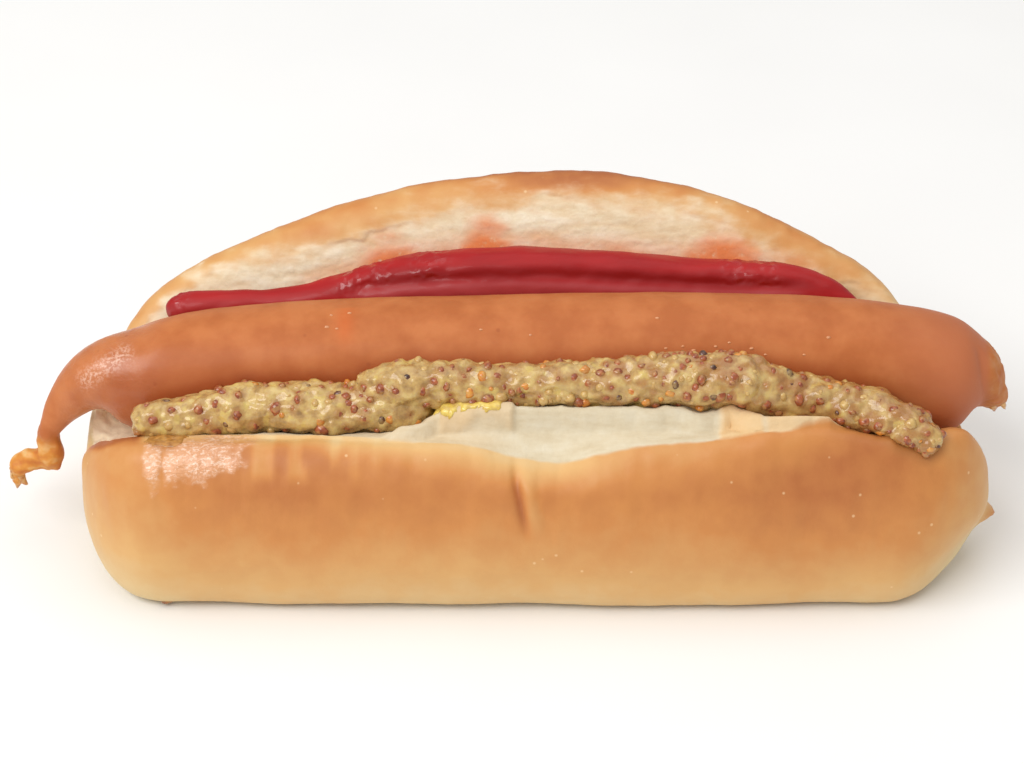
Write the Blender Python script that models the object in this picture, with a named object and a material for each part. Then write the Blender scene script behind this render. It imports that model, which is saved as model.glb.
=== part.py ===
"""A hot dog: a slit soft roll with a frankfurter in it, a line of ketchup behind and one of grainy mustard in front.

Run with: blender --background --python part.py

Frame: metres, +Z up. The origin is the centre of the roll's flat base. +X runs along the roll, towards the
sausage's blunt end, and -Y is the side of the low front wall, where the mustard lies.
"""

from collections import namedtuple
import math

import bmesh
import bpy
from mathutils import Vector

MM = 0.001  # every length below is in mm, and turns into metres where a mesh is made
PIECE_GAP = 0.35  # free gap between pieces that rest on each other

# ---- roll ----
ROLL_STATIONS = 40  # rings along the roll
OUTLINE_SPAN_STEPS = 3  # points between two named points of an outline
ARCH_PEAK = 4.0  # x where the back wall stands highest
ARCH_POWER = 0.9
POWER_FADE = 12.0  # how far in front of y = 0 the back wall's end shape has turned into the front wall's

# How an end of the roll is shaped: its outline; the x where it stops; the reach of the back wall's arch from
# its peak; and how the section shrinks over the last span, towards an upright edge at y between two heights.
# The powers are for the back wall, and for the front wall's base and top. A lower power is blunter.
End = namedtuple("End", "outline x arch_reach span y low high back_power base_power top_power")

# Each outline names the same points of the section, as (y, z), from the front rim down the crust, along the
# base, up the back, over the ridge and down the crumb into the groove. A height below zero is cut off flat.
MID_OUTLINE = (
    (-21.0, 30.3),  # front rim
    (-25.4, 24.0),
    (-27.2, 15.0),  # front bulge
    (-26.4, 7.0),
    (-19.8, -1.3),  # base
    (17.0, -1.4),
    (30.0, 5.5),
    (37.0, 18.0),  # back bulge
    (39.0, 33.0),
    (37.0, 45.5),
    (31.5, 52.3),  # ridge
    (26.0, 49.5),  # back rim
    (20.5, 38.5),
    (13.0, 26.0),
    (3.0, 21.0),  # bottom of the groove
    (-7.0, 24.5),
    (-13.0, 28.0),
    (-17.0, 29.4),  # ledge of crumb
)
LEFT_END = End(
    outline=(
        (-20.0, 29.2),
        (-24.0, 24.0),
        (-25.4, 15.0),
        (-25.0, 6.8),
        (-18.8, -1.3),
        (14.0, -1.4),
        (21.0, 5.0),
        (24.0, 14.0),
        (23.5, 22.0),
        (20.0, 27.4),
        (14.5, 29.6),
        (11.5, 28.3),
        (9.5, 25.2),
        (7.0, 22.0),
        (1.0, 18.5),
        (-6.0, 22.5),
        (-12.5, 27.0),
        (-16.4, 28.5),
    ),
    x=-76.8,
    arch_reach=80.0,
    span=14.0,
    y=-3.0,
    low=12.0,
    high=16.0,
    back_power=0.5,
    base_power=0.5,
    top_power=0.5,
)
RIGHT_END = End(
    outline=(
        (-17.5, 28.5),
        (-22.5, 23.0),
        (-25.0, 15.0),
        (-25.0, 6.8),
        (-18.8, -1.3),
        (15.0, -1.4),
        (22.5, 5.0),
        (25.5, 14.0),
        (24.5, 23.0),
        (20.5, 28.8),
        (14.5, 31.0),
        (11.5, 29.5),
        (9.5, 25.5),
        (7.0, 22.0),
        (1.0, 18.5),
        (-5.0, 21.5),
        (-10.0, 25.5),
        (-13.8, 27.8),
    ),
    x=75.2,
    arch_reach=64.0,
    span=18.0,
    y=-6.0,
    low=8.0,
    high=13.0,
    back_power=1.0,
    base_power=1.0,
    top_power=0.4,
)

# Unevenness of the torn front wall: how far a named point is lifted round an x, fading over a width.
Bump = namedtuple("Bump", "point at width height power")
RIM, LEDGE, INNER_LEDGE, GROOVE_SIDE = 0, -1, -2, -3
BUMPS = (
    Bump(RIM, 1.0, 9.0, -3.9, 2),
    Bump(LEDGE, 1.0, 9.0, -1.6, 2),
    Bump(RIM, 42.0, 13.0, 3.2, 2),
    Bump(LEDGE, 42.0, 13.0, 1.6, 2),
    Bump(LEDGE, 10.0, 27.0, 1.0, 6),
    Bump(INNER_LEDGE, 10.0, 29.0, 5.0, 6),
    Bump(GROOVE_SIDE, 10.0, 29.0, 4.0, 6),
    Bump(RIM, 69.5, 4.5, 4.4, 4),
    Bump(LEDGE, 69.5, 4.5, 4.4, 4),
    Bump(INNER_LEDGE, 69.5, 4.5, 4.0, 4),
)

# ---- sausage: axes as (x, y, z, radius) ----
SAUSAGE_RADIUS = 9.7
SAUSAGE_AXIS = (
    (-82.7, 0.0, 12.4, 1.4),  # knot of the twisted casing
    (-82.6, 0.0, 14.4, 2.2),
    (-82.7, 0.0, 16.8, 1.9),
    (-82.8, 0.0, 19.0, 1.7),
    (-81.9, 0.1, 20.9, 2.1),
    (-80.6, 0.3, 23.2, 2.8),
    (-78.7, 0.5, 25.6, 3.6),
    (-76.5, 0.8, 27.8, 4.5),
    (-74.0, 1.1, 29.2, 5.6),
    (-71.3, 1.4, 29.6, 6.9),
    (-68.3, 1.7, 29.2, 8.2),
    (-64.2, 1.9, 29.0, 9.2),
    (-58.0, 2.0, 30.3, SAUSAGE_RADIUS),
    (-48.0, 2.0, 31.8, SAUSAGE_RADIUS),
    (-32.0, 2.0, 33.0, SAUSAGE_RADIUS),
    (-8.0, 2.0, 33.7, SAUSAGE_RADIUS),
    (20.0, 2.0, 34.2, SAUSAGE_RADIUS),
    (44.0, 2.0, 33.6, SAUSAGE_RADIUS),
    (57.0, 2.0, 32.1, 9.9),
    (64.5, 2.0, 30.3, 10.1),
    (68.8, 2.0, 29.2, 9.5),
    (71.6, 1.9, 28.7, 8.0),
    (73.5, 1.7, 28.2, 6.0),
    (75.0, 1.5, 27.2, 4.1),
    (76.4, 1.2, 26.0, 2.6),
    (77.9, 1.0, 24.8, 1.2),  # stub of casing
)
TAIL_AXIS = (
    (-82.7, 0.0, 14.0, 1.5),
    (-85.8, 0.0, 13.8, 1.6),
    (-87.6, 0.0, 13.0, 1.5),
    (-88.7, 0.0, 11.4, 1.4),
    (-88.9, 0.0, 9.0, 0.7),
)
SAUSAGE_SIDES = 24
TAIL_SIDES = 10
AXIS_SPAN_STEPS = 2  # rings between two named points of an axis

# ---- sauces: beads along an axis, as (x, y, z, radius) ----
KETCHUP_AXIS = (
    (-62.3, 11.4, 36.0, 1.3),
    (-60.0, 11.8, 36.6, 2.3),
    (-54.5, 12.0, 37.0, 2.1),
    (-46.0, 12.6, 37.2, 1.9),
    (-38.0, 13.2, 37.5, 2.4),
    (-29.0, 14.3, 39.0, 3.5),
    (-18.0, 15.2, 40.0, 4.5),
    (-3.0, 15.5, 40.6, 4.8),
    (14.0, 15.2, 40.0, 4.5),
    (30.0, 14.8, 39.2, 4.0),
    (41.0, 14.0, 39.4, 3.7),
    (48.5, 12.8, 38.4, 2.7),
    (53.5, 11.6, 36.6, 1.1),
)
KETCHUP_SIDES = 14
MUSTARD_LEFT_AXIS = (
    (-66.2, -11.2, 28.9, 1.6),
    (-63.5, -11.2, 28.9, 3.1),
    (-57.5, -11.0, 29.2, 3.4),
    (-49.5, -10.6, 31.0, 3.6),
    (-40.0, -10.6, 31.0, 4.0),
    (-29.0, -10.6, 30.6, 4.3),
    (-22.5, -10.6, 30.6, 3.7),
    (-18.5, -10.6, 31.4, 2.4),
)
MUSTARD_RIGHT_AXIS = (
    (-29.0, -9.9, 35.2, 1.8),
    (-25.5, -10.0, 35.2, 3.1),
    (-16.0, -10.2, 35.6, 3.5),
    (-3.0, -10.2, 35.4, 3.1),
    (14.0, -10.4, 36.2, 3.7),
    (26.0, -11.2, 36.8, 4.3),
    (33.0, -11.2, 36.8, 4.2),
    (39.0, -10.8, 33.8, 3.9),
    (47.0, -10.9, 32.4, 3.9),
    (54.5, -12.8, 31.2, 3.8),
    (60.0, -16.0, 30.2, 3.4),
    (63.8, -18.0, 28.9, 2.0),
)
MUSTARD_SIDES = 14


def catmull_rom(a, b, c, d, t):
    """The point at share t from b to c of the smooth curve through a, b, c and d."""
    return 0.5 * (
        2 * b
        + (c - a) * t
        + (2 * a - 5 * b + 4 * c - d) * t * t
        + (3 * b - a - 3 * c + d) * t * t * t
    )


def smooth_closed(points, steps):
    """A closed smooth curve through the points, with this many points to a span."""
    n = len(points)
    return [
        catmull_rom(points[i - 1], points[i], points[(i + 1) % n], points[(i + 2) % n], k / steps)
        for i in range(n)
        for k in range(steps)
    ]


def smooth_open(points, steps):
    """An open smooth curve through the points, both ends kept."""
    padded = [2 * points[0] - points[1], *points, 2 * points[-1] - points[-2]]
    curve = [
        catmull_rom(*padded[i : i + 4], k / steps)
        for i in range(len(points) - 1)
        for k in range(steps)
    ]
    return [*curve, points[-1]]


def mix(a, b, share):
    """From a to b by a share, which is held between 0 and 1."""
    return a + (b - a) * min(1.0, max(0.0, share))


def lift(bump, x):
    return bump.height * math.exp(-abs((x - bump.at) / bump.width) ** bump.power)


def material(name, colour, roughness):
    made = bpy.data.materials.new(name)
    made.use_nodes = True
    shader = made.node_tree.nodes["Principled BSDF"]
    shader.inputs["Base Color"].default_value = (*colour, 1.0)
    shader.inputs["Roughness"].default_value = roughness
    shader.inputs["Metallic"].default_value = 0.0
    return made


def loft(name, rings, first, last, finish):
    """A closed solid through equal rings of points, closed at both ends by a fan to a point."""
    mesh_maker = bmesh.new()
    loops = [[mesh_maker.verts.new(MM * p) for p in ring] for ring in rings]
    for here, there in zip(loops, loops[1:]):
        for i in range(len(here)):
            mesh_maker.faces.new((here[i - 1], here[i], there[i], there[i - 1]))
    for loop, tip in ((loops[0], first), (loops[-1], last)):
        pole = mesh_maker.verts.new(MM * tip)
        for i in range(len(loop)):
            mesh_maker.faces.new((loop[i - 1], loop[i], pole))
    bmesh.ops.recalc_face_normals(mesh_maker, faces=mesh_maker.faces)
    mesh = bpy.data.meshes.new(name)
    mesh_maker.to_mesh(mesh)
    mesh_maker.free()
    mesh.shade_smooth()
    mesh.materials.append(finish)
    made = bpy.data.objects.new(name, mesh)
    bpy.context.collection.objects.link(made)
    return made


def sweep(name, knots, sides, finish):
    """A round solid along a smooth axis. A knot is (x, y, z, radius)."""
    curve = smooth_open([Vector(k[:3]) for k in knots], AXIS_SPAN_STEPS)
    radii = smooth_open([k[3] for k in knots], AXIS_SPAN_STEPS)
    rings = []
    for i, (centre, radius) in enumerate(zip(curve, radii)):
        along = (curve[min(i + 1, len(curve) - 1)] - curve[max(i - 1, 0)]).normalized()
        side = (Vector((0, 1, 0)) - along * along.y).normalized()
        up = side.cross(along)
        turns = (2 * math.pi * k / sides for k in range(sides))
        rings.append([centre + radius * (math.cos(a) * side + math.sin(a) * up) for a in turns])
    first = curve[0] + (curve[0] - curve[1]).normalized() * radii[0] * 0.4
    last = curve[-1] + (curve[-1] - curve[-2]).normalized() * radii[-1] * 0.4
    return loft(name, rings, first, last, finish)


def roll_section(x):
    """The roll's outline across its length at x."""
    end = LEFT_END if x < ARCH_PEAK else RIGHT_END
    arch = max(0.0, 1 - ((x - ARCH_PEAK) / end.arch_reach) ** 2) ** ARCH_POWER
    closing = 1 - (1 - min(1.0, abs(end.x - x) / end.span)) ** 2
    named = [Vector(there).lerp(Vector(mid), arch) for there, mid in zip(end.outline, MID_OUTLINE)]
    for bump in BUMPS:
        named[bump.point].y += lift(bump, x)
    for point in named:
        edge = Vector((end.y, min(max(point.y, end.low), end.high)))
        front_power = mix(end.base_power, end.top_power, (point.y - end.low) / (end.high - end.low))
        power = mix(end.back_power, front_power, -point.x / POWER_FADE)
        point.xy = edge + (point - edge) * closing**power
    return [Vector((x, p.x, max(p.y, 0.0))) for p in smooth_closed(named, OUTLINE_SPAN_STEPS)]


def roll(finish):
    """The roll, with its rings closer together towards the ends."""
    angles = (math.pi * (i + 0.5) / ROLL_STATIONS for i in range(ROLL_STATIONS))
    shares = ((1 - math.cos(a)) / 2 for a in angles)
    rings = [roll_section(LEFT_END.x + share * (RIGHT_END.x - LEFT_END.x)) for share in shares]
    first, last = (Vector((end.x, end.y, (end.low + end.high) / 2)) for end in (LEFT_END, RIGHT_END))
    return loft("bun", rings, first, last, finish)


def hide(helper):
    helper.hide_render = True
    helper.display_type = "WIRE"


def grown(source):
    """A hidden cutter: a copy of a piece whose surface stands out by the gap that pieces keep."""
    cutter = bpy.data.objects.new(source.name + "_cutter", source.data.copy())
    bpy.context.collection.objects.link(cutter)
    for modifier in source.modifiers:
        boolean(cutter, modifier.object, modifier.operation)
    swell = cutter.modifiers.new("swell", "DISPLACE")
    swell.mid_level = 0.0
    swell.strength = MM * PIECE_GAP
    hide(cutter)
    return cutter


def boolean(target, other, operation):
    cut = target.modifiers.new(operation.lower(), "BOOLEAN")
    cut.operation = operation
    cut.object = other
    cut.solver = "EXACT"


def main():
    for old in list(bpy.data.objects):
        bpy.data.objects.remove(old)
    crust = material("crust", (0.72, 0.42, 0.17), 0.5)
    casing = material("casing", (0.60, 0.22, 0.08), 0.35)
    sauce = material("ketchup", (0.45, 0.02, 0.02), 0.2)
    grainy = material("mustard", (0.60, 0.42, 0.14), 0.4)
    bun = roll(crust)
    sausage = sweep("sausage", SAUSAGE_AXIS, SAUSAGE_SIDES, casing)
    tail = sweep("sausage_tail", TAIL_AXIS, TAIL_SIDES, casing)
    ketchup = sweep("ketchup", KETCHUP_AXIS, KETCHUP_SIDES, sauce)
    mustard = sweep("mustard", MUSTARD_RIGHT_AXIS, MUSTARD_SIDES, grainy)
    mustard_left = sweep("mustard_left", MUSTARD_LEFT_AXIS, MUSTARD_SIDES, grainy)
    for whole, helper in ((sausage, tail), (mustard, mustard_left)):
        hide(helper)
        boolean(whole, helper, "UNION")
    bun_cutter = grown(bun)
    sausage_cutter = grown(sausage)
    boolean(bun, sausage_cutter, "DIFFERENCE")
    for filling in (ketchup, mustard):
        boolean(filling, bun_cutter, "DIFFERENCE")
        boolean(filling, sausage_cutter, "DIFFERENCE")


main()
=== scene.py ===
"""Looks of the hot dog: baked crust round torn crumb, a satin frankfurter, wet ketchup and grainy mustard.

Every CAD solid is replaced by a finer surface in the same place. The frame is the CAD's: +X along the roll,
-Y its low front wall, +Z up. Lengths are in mm, and turn into metres where a mesh, lamp or camera is made.
"""

import math
from types import SimpleNamespace

import bmesh
import bpy
import numpy as np
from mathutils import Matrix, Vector, kdtree, noise


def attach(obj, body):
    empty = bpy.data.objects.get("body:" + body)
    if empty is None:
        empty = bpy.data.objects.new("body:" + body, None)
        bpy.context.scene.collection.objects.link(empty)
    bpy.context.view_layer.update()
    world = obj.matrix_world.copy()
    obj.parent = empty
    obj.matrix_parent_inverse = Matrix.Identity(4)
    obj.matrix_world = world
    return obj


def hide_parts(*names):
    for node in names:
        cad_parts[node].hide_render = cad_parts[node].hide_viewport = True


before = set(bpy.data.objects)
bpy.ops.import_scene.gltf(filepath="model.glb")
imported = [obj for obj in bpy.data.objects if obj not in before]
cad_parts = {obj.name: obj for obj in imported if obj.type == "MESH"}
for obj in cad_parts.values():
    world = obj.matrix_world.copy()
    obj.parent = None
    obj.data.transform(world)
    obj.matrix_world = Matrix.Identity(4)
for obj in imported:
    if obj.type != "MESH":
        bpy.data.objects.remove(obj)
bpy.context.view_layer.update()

MM = 0.001

BUN_VOXEL = 0.75
SAUSAGE_VOXEL = 0.45
KETCHUP_VOXEL = 0.34
MUSTARD_VOXEL = 0.3
PIECE_GAP = 0.35  # what the CAD leaves between pieces, which the sauces fill
LAYER_ROOT = 0.06  # how far a thin layer reaches into the surface under it


# ---- numbers over a surface ----


def smooth_step(low, high, value):
    """0 below low, 1 above high and smooth between."""
    share = np.clip((value - low) / (high - low), 0.0, 1.0)
    return share * share * (3.0 - 2.0 * share)


def bell(value, centre, width):
    """1 at the centre, falling away over the width."""
    return np.exp(-(((value - centre) / width) ** 2))


def mix(a, b, share):
    return a + (b - a) * share


def level(knots, at):
    """The second number of the knots, read along the first."""
    return np.interp(at, *np.array(knots).T)


def within(value, low, high, fade):
    """1 between low and high, fading to 0 outside them."""
    return smooth_step(low - fade, low, value) * smooth_step(high + fade, high, value)


def waves(points, size, octaves=2, seed=0):
    """Smooth noise, about -1 to 1, with features of a size in mm, which may differ along x, y and z."""
    scaled = points / np.array(size) + 31.7 * seed
    return np.array([noise.fractal(p, 1.0, 2.0, octaves) for p in scaled.tolist()])


def ridges(points, size, octaves=2, seed=0):
    """Noise from 0 to 1 with sharp crests."""
    return np.clip(1.0 - 2.0 * np.abs(waves(points, size, octaves, seed)), 0.0, 1.0)


def nearest(points, others):
    """The distance from each point to the nearest of the others."""
    tree = kdtree.KDTree(len(others))
    for i, other in enumerate(others.tolist()):
        tree.insert(other, i)
    tree.balance()
    return np.array([tree.find(p)[2] for p in points.tolist()])


class Surface:
    """The refined surface of a CAD node, as points in mm."""

    def __init__(self, node, voxel):
        self.node = node
        rough = bpy.data.objects.new("refining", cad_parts[node].data)
        bpy.context.collection.objects.link(rough)
        remesh = rough.modifiers.new("remesh", "REMESH")
        remesh.mode = "VOXEL"
        remesh.voxel_size = MM * voxel
        graph = bpy.context.evaluated_depsgraph_get()
        self.mesh = bpy.data.meshes.new_from_object(rough.evaluated_get(graph))
        bpy.data.objects.remove(rough)
        self.mesh.name = node + "_skin"
        self.mesh.materials.clear()
        self.read()

    def read(self):
        self.count = len(self.mesh.vertices)
        points = np.empty(self.count * 3, np.float32)
        self.mesh.vertices.foreach_get("co", points)
        self.points = points.reshape(-1, 3).astype(float) / MM
        ends = np.empty(len(self.mesh.edges) * 2, np.int32)
        self.mesh.edges.foreach_get("vertices", ends)
        self.edges = ends.reshape(-1, 2)

    def write(self):
        self.mesh.vertices.foreach_set("co", (MM * self.points).astype(np.float32).ravel())
        self.mesh.update()

    def normals(self):
        self.write()
        normals = np.empty(self.count * 3, np.float32)
        self.mesh.vertex_normals.foreach_get("vector", normals)
        return normals.reshape(-1, 3).astype(float)

    def averaged(self, values, rounds, share=0.5):
        """Values at the points, spread into their neighbours."""
        values = np.array(values, float)
        columns = values if values.ndim == 2 else values[:, None]
        first, second = self.edges.T
        degree = np.maximum(np.bincount(self.edges.ravel(), minlength=self.count), 1)
        share = np.broadcast_to(share, self.count)
        for _ in range(rounds):
            for column in columns.T:
                around = np.bincount(first, column[second], self.count)
                around += np.bincount(second, column[first], self.count)
                column += share * (around / degree - column)
        return values

    def relax(self, rounds, share=0.5):
        self.points = self.averaged(self.points, rounds, share)

    def push(self, heights):
        """Moves the points out along the surface's normals."""
        self.points += self.normals() * np.broadcast_to(heights, self.count)[:, None]

    def split(self, chosen):
        """Cuts the faces between chosen points finer."""
        self.write()
        maker = bmesh.new()
        maker.from_mesh(self.mesh)
        maker.verts.ensure_lookup_table()
        inside = [e for e in maker.edges if chosen[e.verts[0].index] and chosen[e.verts[1].index]]
        bmesh.ops.subdivide_edges(maker, edges=inside, cuts=1, use_grid_fill=True)
        maker.to_mesh(self.mesh)
        maker.free()
        self.read()

    def paint(self, name, values):
        """Stores values at the points for a material to read."""
        layer = self.mesh.attributes.new(name, "FLOAT", "POINT")
        layer.data.foreach_set("value", np.asarray(values, np.float32))

    def front_points(self, places):
        """The points on the near side that are closest to some (x, z) places, and which way they face."""
        normals = self.normals()
        hidden = 1e3 * (normals[:, 1] > -0.1)
        across, _, up = self.points.T
        found = [np.argmin(np.hypot(across - x, up - z) + hidden) for x, z in places]
        return self.points[found], normals[found]

    def layer(self, name, heights, material, slot):
        """Shows a thin closed layer that lies on the surface wherever its height in mm is above zero."""
        normals = self.normals()
        self.mesh.calc_loop_triangles()
        faces = np.empty(len(self.mesh.loop_triangles) * 3, np.int32)
        self.mesh.loop_triangles.foreach_get("vertices", faces)
        faces = faces.reshape(-1, 3)
        used, faces = np.unique(faces[(heights[faces] > 0).all(axis=1)], return_inverse=True)
        faces = faces.reshape(-1, 3)
        top = self.points[used] + normals[used] * heights[used, None]
        under = self.points[used] - normals[used] * LAYER_ROOT
        sides = np.concatenate([faces[:, [0, 1]], faces[:, [1, 2]], faces[:, [2, 0]]]).tolist()
        known = {tuple(s) for s in sides}
        lower = len(used)
        walls = [(b, a, a + lower, b + lower) for a, b in sides if (b, a) not in known]
        mesh = bpy.data.meshes.new(name)
        shell = faces.tolist() + (faces[:, ::-1] + lower).tolist() + walls
        mesh.from_pydata((MM * np.concatenate([top, under])).tolist(), [], shell)
        mesh.shade_smooth()
        return add_piece(name, mesh, material)

    def show(self, name, material, slot):
        self.write()
        self.mesh.shade_smooth()
        piece = add_piece(name, self.mesh, material)
        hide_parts(self.node)
        return piece


def grains(name, places, sizes, material, seed=0, detail=2, dent=0.12):
    """Shows one piece made of small uneven balls. A size is a diameter, or one along each axis, in mm."""
    maker = bmesh.new()
    for i, (place, size) in enumerate(zip(places, sizes)):
        ball = bmesh.ops.create_icosphere(maker, subdivisions=detail, radius=0.5)["verts"]
        away = np.array([tuple(v.co) for v in ball])
        bumpy = 1.0 + dent * waves(2.0 * away, 0.6, 1, seed + 0.37 * i)
        for vert, spot in zip(ball, place + away * bumpy[:, None] * np.array(size)):
            vert.co = MM * Vector(spot)
    mesh = bpy.data.meshes.new(name)
    maker.to_mesh(mesh)
    maker.free()
    mesh.shade_smooth()
    return add_piece(name, mesh, material)


def add_piece(name, mesh, material):
    mesh.materials.append(material)
    piece = bpy.data.objects.new(name, mesh)
    bpy.context.collection.objects.link(piece)
    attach(piece, "root")
    return piece


# ---- materials ----


def rgb(red, green, blue):
    """A display colour, 0 to 255 a channel, as Blender's linear colour."""
    def linear(channel):
        share = channel / 255
        return share / 12.92 if share <= 0.04045 else ((share + 0.055) / 1.055) ** 2.4

    return (linear(red), linear(green), linear(blue), 1.0)


class Look:
    """A material being made. Its texture coordinates are mm in the piece's own frame."""

    def __init__(self, name, **sockets):
        self.material = bpy.data.materials.new(name)
        self.material.use_nodes = True
        self.tree = self.material.node_tree
        self.surface = self.tree.nodes["Principled BSDF"]
        for socket, value in sockets.items():
            self.set(socket.replace("_", " "), value)
        place = self.node("TexCoord").outputs["Object"]
        in_mm = self.node("VectorMath", {0: place, "Scale": 1.0 / MM}, operation="SCALE")
        self.place = in_mm.outputs["Vector"]

    def node(self, kind, sockets=None, **settings):
        made = self.tree.nodes.new("ShaderNode" + kind)
        for name, value in settings.items():
            setattr(made, name, value)
        for socket, value in (sockets or {}).items():
            self.join(made.inputs[socket], value)
        return made

    def join(self, socket, value):
        """Feeds a socket from another one, or sets it."""
        if isinstance(value, bpy.types.NodeSocket):
            self.tree.links.new(value, socket)
        else:
            socket.default_value = value

    def set(self, socket, value):
        self.join(self.surface.inputs[socket], value)

    def math(self, operation, first, second=0.0, third=0.0):
        given = {0: first, 1: second, 2: third}
        return self.node("Math", given, operation=operation).outputs["Value"]

    def mask(self, name):
        return self.node("Attribute", attribute_name=name).outputs["Fac"]

    def scaled(self, sizes, seed):
        """The place in units of a size along each axis, shifted by a seed."""
        given = {0: self.place, 1: [1.0 / s for s in sizes], 2: (seed,) * 3}
        return self.node("VectorMath", given, operation="MULTIPLY_ADD").outputs["Vector"]

    def noise(self, size, detail=2.0, seed=0.0, rough=0.5):
        """Noise from 0 to 1 with features of a size in mm: one number, or one for each axis."""
        sizes = size if isinstance(size, tuple) else (size,) * 3
        place = self.scaled(sizes, seed)
        given = {"Vector": place, "Scale": 1.0, "Detail": detail, "Roughness": rough}
        return self.node("TexNoise", given).outputs["Fac"]

    def cells(self, size, seed=0.0):
        """Distance to the nearest of scattered points, in cells, and a number for each cell."""
        made = self.node("TexVoronoi", {"Vector": self.scaled((size,) * 3, seed), "Scale": 1.0})
        return made.outputs["Distance"], made.outputs["Color"]

    def step(self, value, low, high, to_low=0.0, to_high=1.0):
        given = {
            "Value": value,
            "From Min": low,
            "From Max": high,
            "To Min": to_low,
            "To Max": to_high,
        }
        made = self.node("MapRange", given, interpolation_type="SMOOTHSTEP")
        return made.outputs["Result"]

    def blend(self, share, first, second):
        """A colour from first to second by a share."""
        made = self.node("Mix", data_type="RGBA")
        for socket, value in ((0, share), (6, first), (7, second)):
            self.join(made.inputs[socket], value)
        return made.outputs[2]

    def ramp(self, value, *stops):
        """A colour by value, through (place, colour) stops."""
        made = self.node("ValToRGB", {"Fac": value})
        points = made.color_ramp.elements
        while len(points) < len(stops):
            points.new(1.0)
        for point, (place, colour) in zip(points, stops):
            point.position = place
            point.color = colour
        return made.outputs["Color"]

    def bump(self, height):
        """Fine relief from a height in mm."""
        self.set("Normal", self.node("Bump", {"Height": height, "Distance": MM}).outputs["Normal"])


def bun_look():
    look = Look("bun_crust_and_crumb", IOR=1.42)
    look.set("Coat Roughness", 0.2)
    bake_and_painted_light = look.math("ADD", look.mask("bake_and_painted_light"), look.step(look.noise(4.0, 3.0), 0.3, 0.7, -0.035, 0.035))
    crust = look.ramp(
        bake_and_painted_light,
        (0.0, rgb(224, 200, 150)),
        (0.35, rgb(219, 171, 108)),
        (0.7, rgb(203, 134, 71)),
        (1.0, rgb(172, 98, 50)),
    )
    pores, pick = look.cells(3.4)
    speck = look.math("MULTIPLY", look.step(pores, 0.1, 0.04), look.step(pick, 0.5, 0.56))
    crust = look.blend(look.math("MULTIPLY", speck, 0.45), crust, rgb(246, 216, 168))
    # Painted highlight: the cracked patch is lightened, and flecked paler still.
    crust = look.blend(look.math("MULTIPLY", look.mask("crackle_and_highlight"), 0.7), crust, rgb(232, 174, 132))
    highlight_flecks = look.step(look.noise((0.75, 0.5, 0.5), 3.0, 9.0, 0.65), 0.47, 0.66, 0.0, 0.9)
    crust = look.blend(look.math("MULTIPLY", look.mask("crackle_and_highlight"), highlight_flecks), crust, rgb(248, 218, 194))
    crust = look.blend(look.mask("damp"), crust, rgb(176, 116, 62))

    fibre = look.noise((6.0, 1.6, 1.6), 3.0, 1.0, 0.55)
    tear = look.noise(1.4, 3.0, 5.0, 0.55)
    crumb = look.ramp(
        look.math("ADD", look.math("MULTIPLY", fibre, 0.7), look.math("MULTIPLY", tear, 0.3)),
        (0.34, rgb(224, 205, 170)),
        (0.5, rgb(236, 221, 190)),
        (0.66, rgb(244, 233, 208)),
    )
    # Painted shade on the front crumb.
    crumb = look.blend(look.mask("painted_shade"), crumb, rgb(186, 174, 150))
    # Tan crumb on the torn back, the flap and the block; right of the flap the tan is painted shade.
    crumb = look.blend(look.mask("tan"), crumb, rgb(222, 180, 122))
    # Painted light: the crumb at the left end is lightened where the sausage shades it.
    crumb = look.blend(look.mask("painted_light"), crumb, rgb(255, 240, 208))

    loose = look.math("SUBTRACT", look.noise((3.0, 1.5, 1.5), 3.0, 7.0, 0.6), 0.5)
    edge = look.math("ADD", look.mask("crumb"), look.math("MULTIPLY", loose, look.mask("ragged")))
    open_crumb = look.step(look.math("DIVIDE", edge, look.mask("soft")), -0.5, 0.5)
    colour = look.blend(open_crumb, crust, crumb)
    soaked = look.math("MULTIPLY", look.mask("stain"), look.step(tear, 0.1, 0.45))
    colour = look.blend(soaked, colour, rgb(226, 120, 54))
    look.set("Base Color", colour)

    shine = look.step(look.mask("glaze"), 0.2, 0.8, 0.5, 0.3)
    look.set("Roughness", look.math("MULTIPLY_ADD", open_crumb, 0.4, shine))
    look.set("Coat Weight", look.mask("glaze"))
    wrinkled = look.math("MULTIPLY", look.mask("crackle_and_highlight"), 0.35)
    wrinkle = look.math("MULTIPLY", look.noise((0.7, 0.5, 0.5), 2.0, 2.0, 0.6), wrinkled)
    rough = look.math("MULTIPLY", tear, look.math("MULTIPLY_ADD", open_crumb, 0.13, 0.05))
    look.bump(look.math("ADD", rough, wrinkle))
    return look.material


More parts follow.
